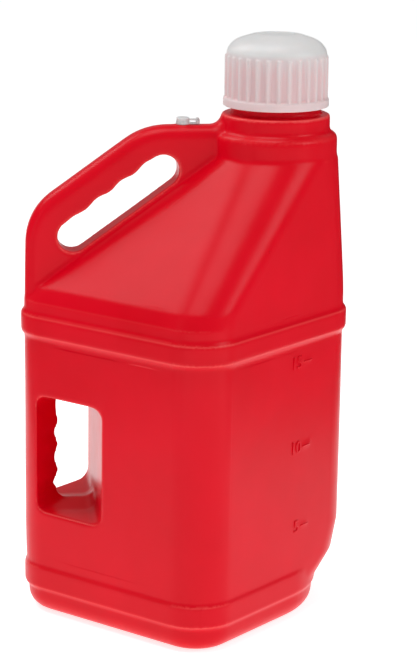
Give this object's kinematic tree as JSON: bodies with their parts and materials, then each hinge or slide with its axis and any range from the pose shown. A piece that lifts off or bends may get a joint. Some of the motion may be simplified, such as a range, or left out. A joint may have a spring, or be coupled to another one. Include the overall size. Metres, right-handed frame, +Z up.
{
  "type": "utility fluid jug",
  "caption": "Tall square blow-moulded fluid jug with a sloping deck, a slotted top handle, a closed side grip, a ribbed screw cap and a flip-open air vent.",
  "frame": {"origin": "middle of the square base, on the surface that it stands on", "axes": "+Z up, +X towards the upright corner that carries the neck, Y = 0 is the mirror plane through both handles"},
  "size_m": [0.3332, 0.3332, 0.5934],
  "materials": {
    "red_shell": "red high-density polyethylene, blow moulded, soft gloss, faintly translucent",
    "natural_cap": "natural milky polyethylene, injection moulded, soft satin",
    "natural_vent": "natural milky polyethylene, injection moulded, satin",
    "seal_rubber": "pale foam rubber ring"
  },
  "bodies": {
    "jug": {"jug_body": "red_shell", "vent_bushing": "natural_vent"},
    "seal": {"cap_gasket": "seal_rubber"},
    "cap": {"filler_cap": "natural_cap"},
    "vent": {"vent_cap": "natural_vent"}
  },
  "joints": [
    {"name": "cap_rise", "type": "slide", "parent": "jug", "child": "seal", "axis": [0, 0, 1], "range_m": [0, 0.0561]},
    {"name": "cap_turn", "type": "hinge", "parent": "seal", "child": "cap", "pos_m": [0.0898, 0, 0.571], "axis": [0, 0, 1], "range_deg": [0, 2520]},
    {"name": "vent_flip", "type": "hinge", "parent": "jug", "child": "vent", "pos_m": [0.011, 0, 0.5076], "axis": [0, 1, 0], "range_deg": [0, 130]}
  ],
  "couplings": [
    {"joint": "cap_rise", "follows": "cap_turn", "m_per_rad": 0.0012732}
  ]
}
